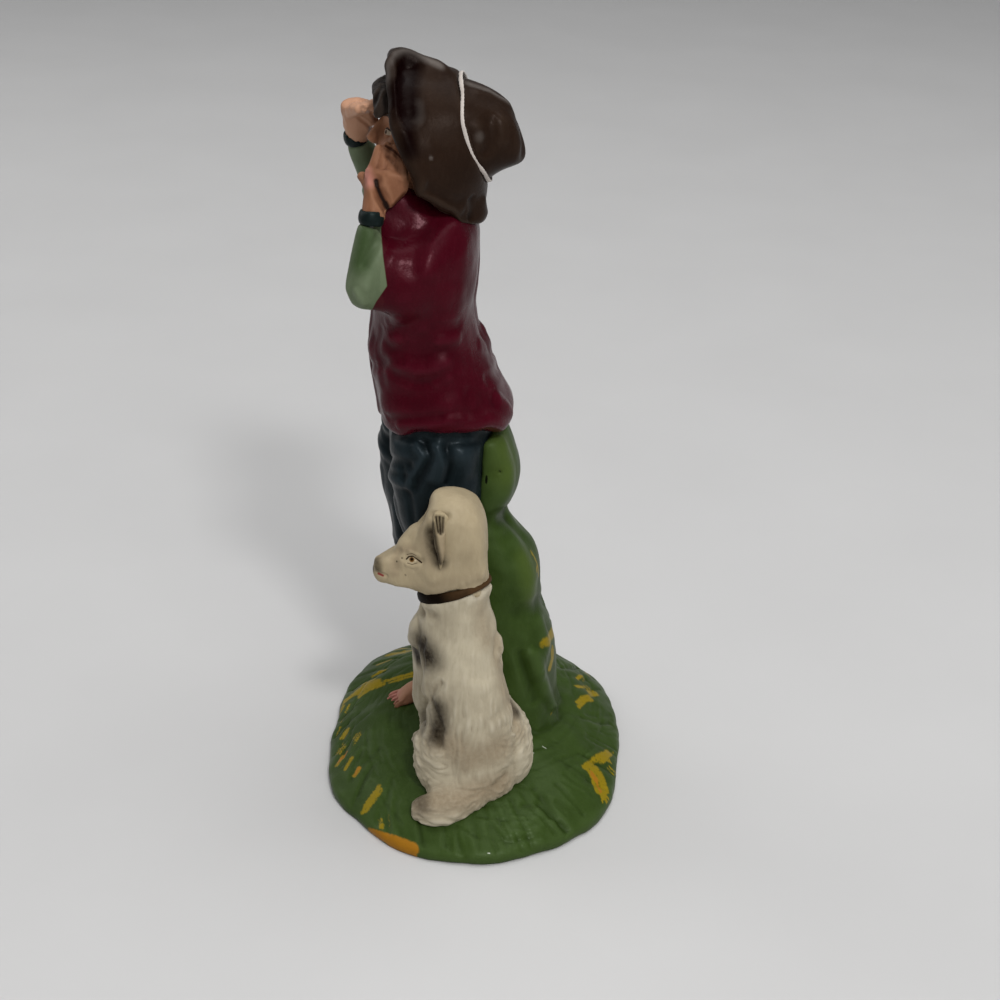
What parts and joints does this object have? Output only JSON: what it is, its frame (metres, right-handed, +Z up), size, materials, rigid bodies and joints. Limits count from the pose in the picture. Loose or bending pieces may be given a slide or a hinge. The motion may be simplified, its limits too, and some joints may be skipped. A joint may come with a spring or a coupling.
{
  "type": "shepherd figurine",
  "caption": "Painted papier-mache figurine of a barefoot shepherd in hat and vest, shading the eyes and calling, with a sitting dog, on a grass mound.",
  "frame": {"origin": "middle of the mound's underside, on the surface that the figurine stands on", "axes": "+Z up, -Y the way the shepherd faces, +X to the shepherd's left, where the dog sits"},
  "size_m": [0.091, 0.0654, 0.1585],
  "materials": {
    "grass_paint": "green oil paint over pressed pulp, satin",
    "backing_card": "bare grey-brown card",
    "armature_wire": "dull annealed iron wire",
    "flesh_paint": "tan oil paint over pressed pulp, satin",
    "breeches_paint": "blue-black oil paint over pressed pulp, satin",
    "vest_paint": "burgundy oil paint over pressed pulp, gloss varnish",
    "shirt_paint": "sage green oil paint over pressed pulp, satin",
    "cuff_paint": "blue-black oil paint over pressed pulp, satin",
    "hair_paint": "black oil paint over pressed pulp, satin",
    "hat_paint": "dark brown oil paint over pressed pulp, gloss varnish",
    "band_paint": "off-white oil paint over pressed pulp",
    "coat_paint": "cream oil paint with grey-brown dabs over pressed pulp, satin",
    "collar_paint": "dark brown oil paint over pressed pulp"
  },
  "bodies": {
    "root": {"base_mound": "grass_paint", "rock_support": "grass_paint", "base_card": "backing_card", "left_leg_wire": "armature_wire", "right_leg_wire": "armature_wire", "spine_wire": "armature_wire", "arm_wire": "armature_wire", "dog_wire": "armature_wire", "head": "flesh_paint", "left_hand": "flesh_paint", "right_hand": "flesh_paint", "left_lower_leg": "flesh_paint", "right_lower_leg": "flesh_paint", "breeches": "breeches_paint", "vest": "vest_paint", "left_sleeve": "shirt_paint", "right_sleeve": "shirt_paint", "shirt_front": "shirt_paint", "left_cuff": "cuff_paint", "right_cuff": "cuff_paint", "hair": "hair_paint", "hat_crown": "hat_paint", "hat_brim": "hat_paint", "hat_band": "band_paint", "dog_body": "coat_paint", "dog_head": "coat_paint", "dog_left_ear": "coat_paint", "dog_right_ear": "coat_paint", "dog_left_foreleg": "coat_paint", "dog_right_foreleg": "coat_paint", "dog_left_haunch": "coat_paint", "dog_right_haunch": "coat_paint", "dog_tail": "coat_paint", "dog_collar": "collar_paint"}
  },
  "joints": []
}
